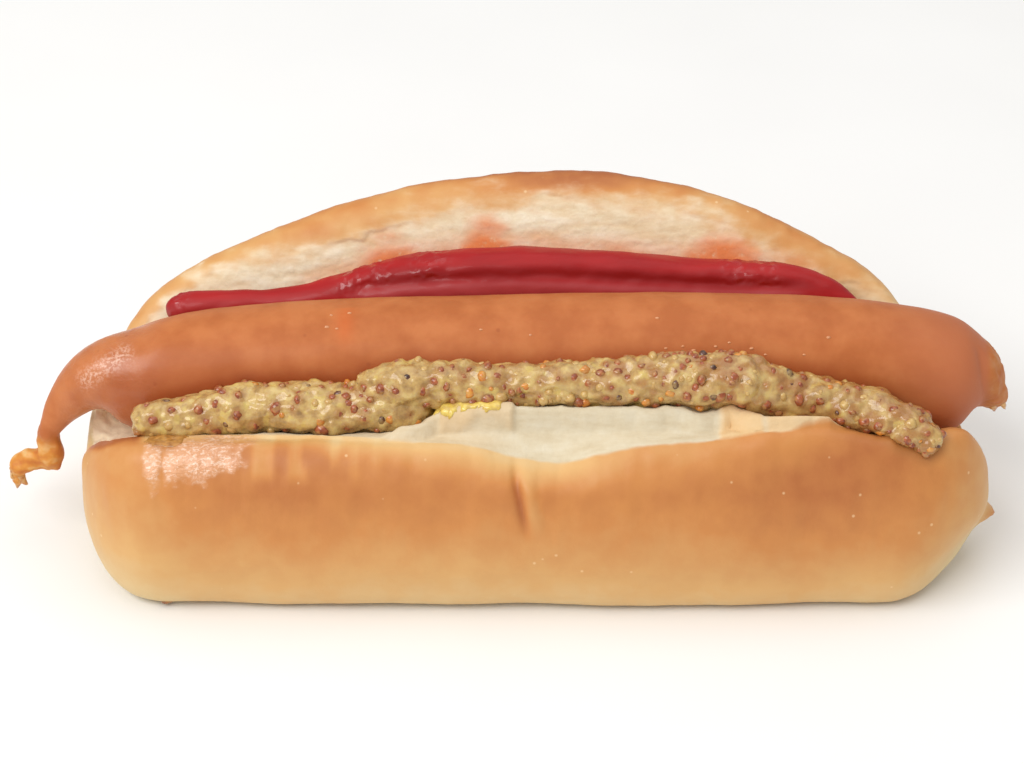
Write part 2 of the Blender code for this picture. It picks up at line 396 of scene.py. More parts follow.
def sausage_look():
    look = Look("sausage_casing", IOR=1.36, Subsurface_Weight=0.1, Subsurface_Scale=MM * 2.0)
    look.surface.inputs["Subsurface Radius"].default_value = (1.0, 0.35, 0.15)
    look.set("Coat Roughness", 0.22)
    meat = look.ramp(
        look.noise(5.0, 3.0, 1.0),
        (0.35, rgb(180, 100, 49)),
        (0.5, rgb(188, 108, 56)),
        (0.65, rgb(195, 116, 63)),
    )
    meat = look.blend(look.mask("pink"), meat, rgb(186, 107, 68))
    # Painted shade low on the front and by the mustard; the stub's own darker colour.
    meat = look.blend(look.mask("deep"), meat, rgb(158, 74, 32))
    dots, pick = look.cells(3.1, 2.0)
    fleck = look.math("MULTIPLY", look.step(dots, 0.16, 0.06), look.step(pick, 0.7, 0.75))
    meat = look.blend(look.math("MULTIPLY", fleck, 0.35), meat, rgb(150, 70, 34))
    meat = look.blend(look.mask("smear"), meat, rgb(212, 104, 44))
    skin = look.ramp(
        look.noise((2.4, 2.4, 1.6), 2.0, 5.0),
        (0.3, rgb(196, 114, 50)),
        (0.5, rgb(212, 142, 60)),
        (0.7, rgb(224, 176, 112)),
    )
    colour = look.blend(look.mask("casing"), meat, skin)
    colour = look.blend(look.mask("fringe"), colour, rgb(226, 190, 142))
    # Painted highlight: a grainy pale patch across the left end.
    highlight_grains = look.step(look.noise(0.5, 2.0, 11.0, 0.65), 0.42, 0.64, 0.1, 0.85)
    colour = look.blend(look.math("MULTIPLY", look.mask("painted_highlight"), highlight_grains), colour, rgb(244, 206, 184))
    look.set("Base Color", colour)
    look.set("Roughness", look.step(look.mask("glaze"), 0.1, 0.9, 0.58, 0.32))
    look.set("Coat Weight", look.mask("glaze"))
    fine = look.noise(0.7, 2.0, 7.0, 0.6)
    look.bump(look.math("MULTIPLY", fine, look.math("MULTIPLY_ADD", look.mask("glaze"), 0.22, 0.02)))
    return look.material


def ketchup_look():
    look = Look("ketchup_sauce", IOR=1.34)
    look.set("Roughness", look.step(look.mask("wet"), 0.1, 0.6, 0.46, 0.26))
    look.set("Coat Weight", look.mask("wet"))
    look.set("Coat Roughness", 0.06)
    body = look.ramp(
        look.noise((12.0, 3.0, 3.0), 2.0, 1.0),
        (0.3, rgb(154, 14, 18)),
        (0.7, rgb(172, 22, 24)),
    )
    body = look.blend(look.mask("film"), body, rgb(166, 56, 58))
    # Painted shade above the crease.
    look.set("Base Color", look.blend(look.mask("deep"), body, rgb(112, 10, 12)))
    look.bump(look.math("MULTIPLY", look.noise((2.4, 1.2, 1.2), 2.0, 5.0), 0.06))
    return look.material


def mustard_look():
    look = Look("mustard_paste", IOR=1.4, Subsurface_Weight=0.15, Subsurface_Scale=MM * 1.5)
    look.surface.inputs["Subsurface Radius"].default_value = (1.0, 0.7, 0.3)
    look.set("Coat Weight", 0.6)
    look.set("Coat Roughness", 0.1)
    paste = look.ramp(
        look.noise(1.9, 3.0, 1.0, 0.6),
        (0.32, rgb(160, 124, 72)),
        (0.5, rgb(194, 158, 96)),
        (0.66, rgb(210, 182, 116)),
    )
    bright = look.step(look.noise(2.4, 2.0, 4.0), 0.56, 0.66, 0.0, 0.55)
    paste = look.blend(bright, paste, rgb(216, 190, 104))
    look.set("Base Color", look.blend(look.mask("stained"), paste, rgb(164, 108, 56)))
    look.set("Roughness", look.step(look.noise(0.9, 2.0, 6.0), 0.3, 0.7, 0.2, 0.38))
    look.bump(look.math("MULTIPLY", look.noise(0.6, 2.0, 8.0), 0.09))
    return look.material


def wet_look(name, low, high, film=0.0):
    """A wet grain or streak, with a share of it under a thin film of paste."""
    look = Look(name, IOR=1.4, Roughness=0.3)
    look.set("Coat Weight", 0.7)
    look.set("Coat Roughness", 0.08)
    grain = look.ramp(look.noise(0.8, 2.0, 2.0), (0.35, rgb(*low)), (0.65, rgb(*high)))
    coated = look.step(look.noise(1.1, 2.0, 7.0), 0.48, 0.62, 0.0, film)
    look.set("Base Color", look.blend(coated, grain, rgb(196, 162, 96)))
    return look.material


# ---- bun ----

SAUSAGE_Y = 2.0
SAUSAGE_Z = 34.0
SAUSAGE_RADIUS = 9.7
SKIN_Z = 29.3  # height of the front rim's crown
OUTER_Y = -14.0  # the front wall's outside is in front of this
GROOVE_REACH = 62.0  # how far either way the groove runs before it closes round the ends
SKY_Z = 60.0  # height from which all the crumb can be seen and none of the crust's outside

# Where the crust stops: (x, y) along the front wall and (x, z) along the back wall.
FRONT_EDGE = (
    (-75.5, 2.0),
    (-74.8, -4.0),
    (-70.4, -12.3),
    (-55.0, -14.6),
    (-38.0, -16.4),
    (-22.0, -18.8),
    (-8.0, -19.8),
    (5.0, -20.6),
    (40.0, -19.3),
    (46.5, -17.6),
    (52.0, -15.0),
    (60.0, -14.5),
)
BACK_EDGE = (
    (-77.0, 20.8),
    (-66.0, 32.9),
    (-58.0, 38.4),
    (-50.0, 40.6),
    (-37.0, 42.8),
    (-17.0, 47.6),
    (0.0, 50.0),
    (31.0, 46.8),
    (36.0, 43.5),
    (45.0, 40.6),
    (60.0, 36.0),
)
RIGHT_EDGE = 63.0  # x past which the crust closes over the end

# How brown the crust is at a height: (z, share)
BAKE = ((0.0, 0.1), (5.0, 0.26), (10.0, 0.42), (16.0, 0.6), (24.0, 0.78), (34.0, 0.78), (53.0, 0.74))

# Where ketchup has soaked into the crumb above it: (x, half length, reach)
STAINS = ((-27.0, 9.0, 5.2), (-9.0, 6.5, 6.4), (14.0, 9.0, 3.8), (31.0, 9.5, 6.4))

# Toasted crumbs at the foot of the front wall: (x, z) and size along each axis
BASE_CRUMBS = (((-62.2, 1.0), (1.4, 1.0, 0.7)), ((-61.2, 0.7), (0.9, 0.8, 0.6)))


def slope_of(y, z):
    """How far up the food's leaning front a place lies, in mm from the height of the front rim."""
    return 0.545 * y + 0.839 * (z - SKIN_Z)


def beyond_sausage(y, z):
    """How far a place is from the skin of the sausage's straight part, in mm."""
    return np.hypot(y - SAUSAGE_Y, z - SAUSAGE_Z) - SAUSAGE_RADIUS


def crumb_distance(bun):
    """How far each point lies inside the edge of the crust, in mm: positive on the crumb."""
    over = np.stack(
        [
            np.clip(bun.points[:, 0], -GROOVE_REACH, GROOVE_REACH),
            np.full(bun.count, SAUSAGE_Y),
            np.full(bun.count, SKY_Z),
        ],
        axis=1,
    )
    facing = bun.averaged(((over - bun.points) * bun.normals()).sum(axis=1), 4)
    first, second = bun.edges.T
    crossing = facing[first] * facing[second] < 0
    share = facing[first] / (facing[first] - facing[second] + 1e-12)
    rim = mix(bun.points[first], bun.points[second], share[:, None])[crossing]
    inside = np.sign(facing) * nearest(bun.points, rim)
    x, y, z = bun.points.T
    edge = np.where(y < SAUSAGE_Y, y - level(FRONT_EDGE, x), level(BACK_EDGE, x) - z)
    return np.minimum(np.minimum(inside, edge), RIGHT_EDGE - x)


def crease_of(x, z):
    """How far a place is from the valley of the front wall's crease, in mm, and how much of it is there."""
    share = np.clip((28.5 - z) / 13.5, 0.0, 1.0)
    return x - mix(-4.5, -1.7, share), smooth_step(0.0, 0.3, share) * smooth_step(1.0, 0.5, share)


def fine_bun():
    """The roll's surface, finer on the crumb, on the cracked patch of crust and round the crease."""
    skin = Surface("bun", BUN_VOXEL)
    skin.relax(12)
    inside = crumb_distance(skin)
    x, y, z = skin.points.T
    cracked = (x > -70) & (x < -40) & (y < -15) & (z > 20)
    creased = (np.abs(x + 1.5) < 7) & (y < -15) & (z > 12)
    skin.split(((inside > -1.0) & (beyond_sausage(y, z) > 0.6)) | cracked | creased)
    skin.relax(2)
    return skin


def regions(skin):
    """Which part of the roll each point is on: mostly shares from 0 to 1, and distances in mm."""
    x, y, z = skin.points.T
    at = SimpleNamespace()
    at.back = smooth_step(5.0, 12.0, y)
    at.front = y < SAUSAGE_Y
    at.outer = at.front & (y < OUTER_Y)

    at.inside = crumb_distance(skin)
    at.inside += mix(0.2, 1.2, at.back) * waves(skin.points, (4.0, 2.4, 2.4), 2, 4)
    at.inside += at.back * 1.2 * waves(skin.points, (12.0, 5.0, 5.0), 2, 14)
    at.inside -= 3.0 * at.back * smooth_step(0.05, 0.5, skin.normals()[:, 1])
    at.open_crumb = smooth_step(-0.3, 0.5, at.inside)

    # A block and a flap of torn crumb stand up beside the mustard.
    at.askew = 0.9 * waves(skin.points, 4.0, 2, 19)
    at.block = within(x + at.askew, -15.6, -4.8, 1.1) * within(y + at.askew, -15.4, -8.0, 1.2) * at.front
    at.flap = within(x + 0.6 * at.askew, 29.4, 35.2, 1.1) * within(y + at.askew, -19.5, -8.0, 0.9) * at.front
    at.torn = waves(skin.points, (8.0, 3.0, 3.0), 3, 5)
    at.across, at.crease = crease_of(x, z)
    return at


def tear_bun(skin, at):
    """Gives the crust its unevenness and its crease, and the crumb its tears."""
    x, y, z = skin.points.T
    dough = 0.35 * waves(skin.points, 16.0, 2, 1) + 0.1 * waves(skin.points, 5.0, 2, 2)
    stretch = 0.14 * waves(skin.points, (2.2, 12.0, 9.0), 2, 3) * smooth_step(10.0, 20.0, z)
    crease = (0.4 * bell(at.across, 1.7, 1.2) - 0.65 * bell(at.across, 0.0, 0.7)) * at.crease * at.outer

    pits = ridges(skin.points, (3.4, 1.6, 1.6), 2, 6)
    fibres = 0.15 * waves(skin.points, (1.1, 4.0, 4.0), 2, 15) * at.flap
    frayed = smooth_step(-69.0, -73.0, x) * waves(skin.points, 1.7, 2, 21)
    deep = smooth_step(0.2, 2.5, at.inside) * mix(0.6, 1.0, at.back)
    free = smooth_step(0.4, 2.5, beyond_sausage(y, z))
    crumb = (0.11 * at.torn - 0.05 * pits) * deep * free - 0.1 + fibres + 0.7 * frayed
    skin.push(mix(dough + stretch + crease, crumb, at.open_crumb))


def raise_bun(skin, at):
    """Lifts the ledge of crumb to the mustard, raises its torn bits and pulls out the right end's nub."""
    x, y, z = skin.points.T
    ledge = at.front * smooth_step(-1.0, 0.5, at.inside) * smooth_step(-4.0, -7.0, y)
    ledge *= np.maximum(within(x, -22.0, 58.0, 4.0), 0.5 * within(x, -54.0, -18.0, 4.0))
    fill = np.clip(at.under + 0.15, 0.0, 2.6) * smooth_step(4.4, 2.6, at.under) * ledge
    skin.points[:, 2] += np.minimum(fill, mix(0.7, 2.4, smooth_step(-26.0, -22.0, x)))
    skin.push((0.8 * at.block + 0.45 * at.flap) * smooth_step(0.3, 1.0, at.under) * at.open_crumb)
    at.nub = np.exp(-(((y + 8.5) / 2.2) ** 2 + ((z - 8.6) / 1.8) ** 2)) * smooth_step(69.0, 73.0, x)
    skin.points[:, 0] += 2.2 * at.nub**1.5


def browning(skin, at):
    """How brown the crust is at each point, with painted highlight streaks on the shoulder and painted shade
    and highlight at the crease.
    """
    x, y, z = skin.points.T
    rim = mix(mix(0.58, 0.2, smooth_step(0.0, 16.0, x)), 0.34, at.back)
    bake_and_painted_light = level(BAKE, z) - smooth_step(-5.5, -0.2, at.inside) * rim
    bake_and_painted_light += 0.12 * bell(x, 46.0, 22.0) * at.front - 0.22 * smooth_step(58.0, 74.0, x)
    bake_and_painted_light -= 0.12 * smooth_step(30.0, 60.0, x) * smooth_step(14.0, 4.0, z)
    bake_and_painted_light -= (0.22 - 0.16 * at.back) * smooth_step(-52.0, -68.0, x)
    crown = 0.3 * bell(x, 6.0, 18.0) * smooth_step(49.5, 52.0, z)
    bake_and_painted_light += at.back * (0.1 * within(x, -10.0, 22.0, 14.0) + crown)
    bake_and_painted_light += 0.03 * at.back * smooth_step(22.0, 40.0, x)
    # Painted shade in the crease's valley and a painted highlight on its ridge.
    bake_and_painted_light += at.outer * at.crease * (0.24 * bell(at.across, 0.0, 0.7) - 0.18 * bell(at.across, 1.8, 1.4))
    # Painted highlight: pale vertical streaks on the shoulder left of the middle.
    highlight_streaks = smooth_step(-0.1, 0.4, waves(skin.points, (2.6, 14.0, 14.0), 1, 22))
    bake_and_painted_light -= 0.23 * highlight_streaks * within(x, -46.0, -28.0, 3.0) * within(at.slope, -14.0, -10.0, 3.0) * at.outer
    rim_slope = mix(-10.1, -8.8, smooth_step(-73.0, -66.0, x))
    rim_line = bell(at.slope, rim_slope, 0.8) * within(x, -77.0, -66.0, 2.0)
    bake_and_painted_light += 1.1 * rim_line * smooth_step(-5.0, -9.0, y)
    bake_and_painted_light += 0.06 * smooth_step(-25.0, -40.0, x) * at.outer + 0.6 * at.nub
    bake_and_painted_light += 0.05 * waves(skin.points, 15.0, 2, 7)
    return np.clip(bake_and_painted_light, 0.0, 1.0)


def soaking(skin, at, ketchup_points):
    """How much ketchup has soaked into the crumb at each point."""
    x = skin.points[:, 0]
    sauce = nearest(skin.points, ketchup_points)
    stain = 0.4 * smooth_step(4.6, 2.0, sauce + 0.8 * at.torn) * within(x, -42.0, 44.0, 6.0)
    for place, half, reach in STAINS:
        reached = reach * (1.0 - ((x - place) / half) ** 2) - sauce + 1.6 * at.torn
        stain = np.maximum(stain, smooth_step(-1.4, 4.0, reached))
    return stain * at.back


def cracking(skin, at):
    """Where the crust is cracked and greasy, with a highlight painted on it: a tilted patch, and a narrow
    one to its left.
    """
    x = skin.points[:, 0]
    strayed = at.slope + 1.3 * waves(skin.points, 3.6, 2, 23)
    tilted = strayed + 12.4 - 0.24 * (x + 55.4)
    cut_off = 2.0 * smooth_step(-60.2, -61.0, x + 0.5 * at.askew)
    patch = np.hypot((x + 0.8 * at.askew + 54.6) / 7.0, tilted / 3.5) + cut_off
    narrow = np.hypot((x + 0.5 * at.askew + 62.2) / 1.5, (strayed + 13.6) / 3.8)
    away = np.minimum(patch, narrow) + 0.4 * waves(skin.points, 1.7, 2, 16)
    return smooth_step(1.3, 0.7, away) * at.outer


def paint_bun(skin, at, ketchup_points):
    """Stores what the roll's material reads."""
    x = skin.points[:, 0]
    bake_and_painted_light = browning(skin, at)
    stain = soaking(skin, at, ketchup_points)
    crackle_and_highlight = cracking(skin, at)
    skin.push(0.04 * waves(skin.points, (1.1, 0.8, 0.8), 2, 17) * crackle_and_highlight)

    # Tan where the back crumb's tears dip in and towards its right end, and on the flap and block.
    tan = (0.3 * smooth_step(0.3, -0.5, at.torn) + 0.5 * smooth_step(46.0, 54.0, x)) * at.back
    left_ledge = smooth_step(-2.0, -12.0, x) * smooth_step(-66.0, -62.0, x)
    # Right of the flap the crumb's tan is painted shade of its recess.
    shaded_right_ledge = smooth_step(35.4, 37.0, x)
    tan += at.front * (0.75 * at.flap + 0.3 * at.block + 0.6 * shaded_right_ledge + 0.18 * left_ledge)
    damp = smooth_step(2.4, 0.4, at.under + 0.4 * at.torn) * smooth_step(38.0, 46.0, x) * at.front
    dripped = np.hypot((x + 60.5) / 3.2, (at.slope + 9.8) / 2.4)
    damp = np.maximum(damp, 0.8 * smooth_step(1.0, 0.3, dripped) * at.outer)
    # Painted shade on the front crumb, strongest just under the mustard.
    shaded = at.front * smooth_step(-64.0, -58.0, x) * (0.45 + 0.45 * smooth_step(3.0, 0.3, at.under))
    left_back = smooth_step(-40.0, -56.0, x)
    left_tip = smooth_step(-71.0, -74.0, x)
    for name, values in (
        ("crumb", at.inside),
        ("ragged", mix(0.5, mix(3.0, 1.2, left_back), at.back)),
        ("soft", mix(mix(0.8, 3.4, left_tip), mix(4.5, 2.2, left_back), at.back)),
        ("bake_and_painted_light", bake_and_painted_light),
        ("crackle_and_highlight", 0.78 * crackle_and_highlight),
        ("damp", 0.6 * damp),
        ("tan", np.clip(tan, 0.0, 1.0)),
        # Painted light on the crumb at the left end.
        ("painted_light", 0.9 * smooth_step(-63.0, -66.0, x)),
        ("painted_shade", (1.0 - 0.8 * at.flap) * shaded),
        ("stain", 0.9 * stain),
        ("glaze", (0.06 + 0.6 * crackle_and_highlight) * (1 - at.open_crumb)),
    ):
        skin.paint(name, values)


def dress_bun(skin, at):
    """Adds the thin mustard on the crumb, the drip on the rim and the crumbs at the foot of the wall."""
    x, y, z = skin.points.T
    wavy = 0.35 * waves(skin.points, 2.2, 2, 18)
    smear = within(x, -16.5, -7.0, 1.5) * smooth_step(3.7, 1.5, at.under + 2.4 * wavy)
    smear = smear + 0.5 * bell(at.under, 0.0, 0.8) - 0.25
    smear = np.where((x > -20) & (x < 40) & (at.inside > 0.3) & at.front, smear, 0.0)
    liquid = wet_look("mustard_liquid", (220, 184, 76), (230, 204, 104), 0.6)
    skin.layer("mustard_smear", 0.5 * smear, liquid, "mustard")

    drop = 1.0 - ((x + 60.6) / 3.6) ** 2 - ((at.slope + 9.0) / 1.6) ** 2 + wavy
    drop = np.where(at.outer & (at.inside < 1.0) & (z > 24), 0.3 * drop, 0.0)
    skin.layer("mustard_drip", drop, wet_look("mustard_oil", (158, 100, 40), (196, 138, 68)), "mustard")

    places, _ = skin.front_points([place for place, _ in BASE_CRUMBS])
    sizes = [size for _, size in BASE_CRUMBS]
    grains("base_crumb", places, sizes, wet_look("toasted_crumb", (140, 84, 44), (190, 132, 80)), 3)


def bun(ketchup_points, mustard_points):
    skin = fine_bun()
    at = regions(skin)
    tear_bun(skin, at)
    at.under = nearest(skin.points, mustard_points)
    raise_bun(skin, at)
    at.slope = slope_of(skin.points[:, 1], skin.points[:, 2])
    paint_bun(skin, at, ketchup_points)
    skin.show("bun_skin", bun_look(), "crust")
    dress_bun(skin, at)


# ---- sausage ----

# Specks of fat that shine on the sausage, coloured paler than it as painted glints: (x, z)
GLINTS = (
    (-35.0, 41.6),
    (-34.2, 42.2),
    (-33.4, 41.4),
    (-31.4, 42.6),
    (-9.8, 41.8),
    (-1.5, 41.2),
    (19.2, 43.1),
    (20.4, 39.8),
    (23.0, 40.1),
    (25.2, 39.4),
    (28.6, 39.9),
    (31.0, 40.3),
    (34.4, 39.6),
    (36.6, 38.8),
    (42.8, 38.8),
    (47.0, 40.8),
)


def sausage(mustard_points):
    skin = Surface("sausage", SAUSAGE_VOXEL)
    end = smooth_step(62.0, 72.0, np.abs(skin.points[:, 0]))
    skin.relax(24, mix(0.5, 0.12, end))
    skin.push(mix(0.12, 0.02, end))
    x, y, z = skin.points.T
    tail = smooth_step(-80.0, -82.0, x) * smooth_step(23.0, 17.0, z)
    turn = np.arctan2(y, x + 82.5)
    twist = 0.2 * np.sin(3.0 * turn + 1.3 * z) * tail
    crumple = tail * (0.4 * waves(skin.points, (2.2, 2.0, 1.8), 2, 2) + 0.25)
    stub = smooth_step(73.6, 75.4, x)
    pleats = stub * 0.35 * waves(skin.points, (4.0, 1.1, 2.4), 2, 3)
    crease = -0.5 * bell(x, 74.0 + 0.15 * (28.0 - z), 0.8) * smooth_step(0.0, -2.0, y)
    skin.push(0.1 * waves(skin.points, 9.0, 2, 1) * (1 - end) + twist + crumple + pleats + crease)
    x, y, z = skin.points.T
    patchy = smooth_step(-0.5, 0.1, waves(skin.points, 3.0, 2, 4))
    right, up = x + 76.0, slope_of(y, z) + 0.5
    along, across = 0.84 * right + 0.545 * up, 0.84 * up - 0.545 * right
    # A painted highlight in a band across the left end's upper front.
    painted_highlight = bell(across, 0.2, 1.5) * within(along, 1.5, 9.0, 2.5) * (y < SAUSAGE_Y)
    gloss = 0.5 * smooth_step(-60.0, -67.0, x) * smooth_step(-82.0, -78.0, x) * mix(0.4, 1.0, patchy)
    skin.push(0.05 * gloss * waves(skin.points, 0.8, 2, 5))
    skin.paint("pink", smooth_step(50.0, 74.0, x) * (1.0 - 0.9 * stub))
    # Painted shade, low on the front and where the mustard touches; the stub is darker in its own colour.
    shade_strength = mix(1.2, 1.6, smooth_step(-30.0, -50.0, x))
    shade_strength *= smooth_step(62.0, 36.0, x) * smooth_step(-76.0, -68.0, x)
    shade = 0.35 * smooth_step(2.0, -6.0, y) * smooth_step(41.0, 33.0, z) * shade_strength
    contact_shade = 0.45 * smooth_step(2.6, 0.2, nearest(skin.points, mustard_points))
    skin.paint("deep", np.clip(shade + contact_shade + 0.3 * stub, 0.0, 0.9))
    skin.paint("painted_highlight", 0.65 * painted_highlight)
    skin.paint("smear", 0.5 * bell(x, -32.0, 1.6) * bell(z, 41.8, 1.8) * (y < SAUSAGE_Y))
    knot = smooth_step(-79.5, -82.5, x) * smooth_step(20.0, 16.5, z)
    skin.paint("casing", np.maximum(0.3 * stub, knot))
    skin.paint("fringe", stub * smooth_step(24.8, 23.4, z + 0.5 * waves(skin.points, 1.4, 2, 6)))
    skin.paint("glaze", 0.06 + 0.9 * gloss)
    skin.show("sausage_skin", sausage_look(), "casing")

    spots, away = skin.front_points(GLINTS)
    widths = [(0.6, 0.4, 0.4) if i % 3 else (0.8, 0.5, 0.5) for i in range(len(GLINTS))]
    # Fat specks whose pale colour is a painted glint.
    fat_and_glint = wet_look("fat_and_glint", (206, 138, 92), (222, 158, 110))
    grains("fat_and_glint_specks", spots - 0.05 * away, widths, fat_and_glint, 9, dent=0.3)
    shreds()


# Shreds at the torn ends of the casing: (base, tip, radius at the base)
SHREDS = (
    ((-88.9, 0.0, 10.4), (-89.1, 0.1, 7.5), 1.15),
    ((-88.2, -0.2, 10.8), (-87.3, -0.4, 8.6), 1.0),
    ((-89.2, 0.0, 12.0), (-89.7, -0.2, 9.8), 0.9),
    ((77.4, 0.8, 25.0), (78.3, 0.6, 23.4), 0.8),
    ((76.2, 0.6, 24.6), (76.6, 0.4, 23.2), 1.1),
)


def shreds():
    """Small tapering strands of casing."""
    maker = bmesh.new()
    for i, (base, tip, radius) in enumerate(SHREDS):
        base, tip = Vector(base), Vector(tip)
        side = (tip - base).orthogonal().normalized()
        up = side.cross((tip - base).normalized())
        loops = []
        for share in (0.0, 0.2, 0.4, 0.6, 0.8, 0.93):
            spots = [(7.0 * i + 2.3 * axis, 2.0 * share, 0.5) for axis in range(3)]
            bend = 0.35 * Vector([noise.noise(spot) for spot in spots])
            wide = radius * (1 - share) ** 0.6
            turns = [math.tau * k / 8 for k in range(8)]
            flat = [wide * (math.cos(t) * side + 0.7 * math.sin(t) * up) for t in turns]
            loops.append([maker.verts.new(MM * (base.lerp(tip, share) + bend + f)) for f in flat])
        for here, there in zip(loops, loops[1:]):
            for k in range(8):
                maker.faces.new((here[k - 1], here[k], there[k], there[k - 1]))
        for loop, pole in ((loops[0], base), (loops[-1], tip)):
            middle = maker.verts.new(MM * pole)
            for k in range(8):
                maker.faces.new((loop[k - 1], loop[k], middle))
    bmesh.ops.recalc_face_normals(maker, faces=maker.faces)
    mesh = bpy.data.meshes.new("casing_shreds")
    maker.to_mesh(mesh)
    maker.free()
    mesh.shade_smooth()
    add_piece("casing_shreds", mesh, wet_look("dry_casing", (190, 116, 50), (222, 176, 112)))


# ---- sauces ----

VIEWED = math.radians(150.0)  # angle round the ketchup, from +Y, of the crease between its lobe and its film

# Where the ketchup is rippled enough to glint: (x, half length)
RIPPLES = ((-60.5, 2.0), (-29.5, 5.0), (-18.5, 3.5), (33.0, 2.6), (38.2, 2.2))


def ketchup():
    skin = Surface("ketchup", KETCHUP_VOXEL)
    skin.relax(10)
    x, y, z = skin.points.T
    slices = np.round(x / 4.0).astype(int)
    slices -= slices.min()
    counts = np.maximum(np.bincount(slices), 1)
    middle = [np.bincount(slices, weights=v) / counts for v in (x, y, z)]
    across, up = y - np.interp(x, middle[0], middle[1]), z - np.interp(x, middle[0], middle[2])
    angle, radius = np.mod(np.arctan2(up, across), 2 * math.pi), np.hypot(across, up)
    skin.push(PIECE_GAP + 0.1)
    skin.relax(6)
    long = smooth_step(-38.0, -24.0, x) * smooth_step(52.0, 38.0, x)
    crease = bell((angle - VIEWED) * radius, 0.0, 1.3)
    skin.push(-0.8 * crease * long + 0.25 * waves(skin.points, (6.0, 3.0, 3.0), 2, 1))
    skin.relax(2)
    rippled = sum(smooth_step(1.3, 0.6, np.abs(x - place) / half) for place, half in RIPPLES)
    rippled = np.clip(rippled, 0.0, 1.0) * mix(1.0, smooth_step(VIEWED + 0.1, VIEWED - 0.2, angle), long)
    skin.push(rippled * (0.08 * waves(skin.points, 1.6, 2, 2) + 0.16 * waves(skin.points, 0.9, 2, 5)))
    skin.paint("wet", 0.08 + 0.5 * rippled * smooth_step(-0.1, 0.3, waves(skin.points, 1.5, 2, 6)))
    film = smooth_step(VIEWED + 0.1, VIEWED + 0.3, angle) * long
    strip = 0.6 * smooth_step(-34.0, -42.0, x) * smooth_step(math.radians(110.0), VIEWED, angle)
    skin.paint("film", np.maximum(film, strip))
    # Painted shade just above the crease, under the lobe.
    skin.paint("deep", 0.55 * bell((angle - VIEWED) * radius, -0.6, 1.3) * long)
    skin.show("ketchup_bead", ketchup_look(), "ketchup")
    return skin.points


BROWN, ORANGE, DARK, TAN = range(4)
SEED_COLOURS = (
    ("brown", (126, 56, 28), (176, 94, 50)),
    ("orange", (194, 108, 34), (220, 150, 60)),
    ("dark", (58, 34, 28), (112, 64, 42)),
    ("tan", (184, 140, 78), (210, 174, 104)),
)
SEED_SHARES = (0.55, 0.1, 0.05, 0.3)
SEED_SPACING = 1.9
LEAST_ROOM = 1.0  # between the middles of two seeds
MOST_TRIED = 3000  # places tried for a scattered seed

# Seeds that stand out at the front: (x, z, kind)
SEEDS = (
    (-63.0, 31.0, BROWN),
    (-60.5, 30.0, TAN),
    (-55.5, 32.4, BROWN),
    (-52.6, 28.8, BROWN),
    (-46.0, 30.0, BROWN),
    (-42.8, 33.4, BROWN),
    (-41.8, 32.4, ORANGE),
    (-35.5, 31.0, ORANGE),
    (-35.2, 29.6, BROWN),
    (-31.4, 29.8, BROWN),
    (-28.6, 36.0, BROWN),
    (-26.0, 36.6, BROWN),
    (-25.8, 31.4, DARK),
    (-24.5, 31.2, ORANGE),
    (-23.3, 36.4, BROWN),
    (-19.2, 36.0, BROWN),
    (-17.2, 37.8, BROWN),
    (-15.0, 37.0, BROWN),
    (-11.5, 36.2, ORANGE),
    (-9.4, 38.4, ORANGE),
    (-8.6, 34.8, BROWN),
    (-2.4, 37.0, ORANGE),
    (5.4, 38.4, BROWN),
    (12.6, 35.6, DARK),
    (14.6, 36.6, ORANGE),
    (17.0, 34.4, ORANGE),
    (18.2, 37.8, TAN),
    (20.8, 36.6, ORANGE),
    (21.8, 38.6, DARK),
    (23.4, 36.4, BROWN),
    (25.8, 39.2, BROWN),
    (27.6, 36.6, DARK),
    (28.8, 36.4, BROWN),
    (30.6, 36.6, BROWN),
    (30.2, 41.4, BROWN),
    (32.4, 34.4, BROWN),
    (36.6, 34.6, BROWN),
    (38.6, 32.6, BROWN),
    (42.0, 35.4, BROWN),
    (43.8, 33.4, BROWN),
    (45.2, 34.8, BROWN),
    (54.4, 32.2, BROWN),
    (54.9, 30.4, ORANGE),
    (58.8, 30.8, BROWN),
    (61.6, 27.2, BROWN),
    (56.2, 28.6, BROWN),
    (63.0, 30.6, TAN),
)


def scattered(skin, seed, spacing, taken):
    """Points of the surface in loose clusters, and their normals, clear of those already taken."""
    chooser = np.random.default_rng(seed)
    normals = skin.normals()
    bare = np.flatnonzero((normals[:, 2] > -0.5) & (normals[:, 1] < 0.75))
    tried = chooser.permutation(bare)[:MOST_TRIED]
    sparser = mix(1.5, 1.0, smooth_step(-30.0, 10.0, skin.points[tried, 0]))
    clustered = 1.0 + 0.9 * waves(skin.points[tried], 5.0, 1, seed)
    room = spacing * sparser * clustered * chooser.uniform(0.7, 1.3, len(tried))
    kept, chosen = list(taken), []
    for i, space in zip(tried.tolist(), np.maximum(room, LEAST_ROOM)):
        if np.min(np.linalg.norm(np.array(kept) - skin.points[i], axis=1)) > space:
            kept.append(skin.points[i])
            chosen.append(i)
    return skin.points[chosen], normals[chosen]


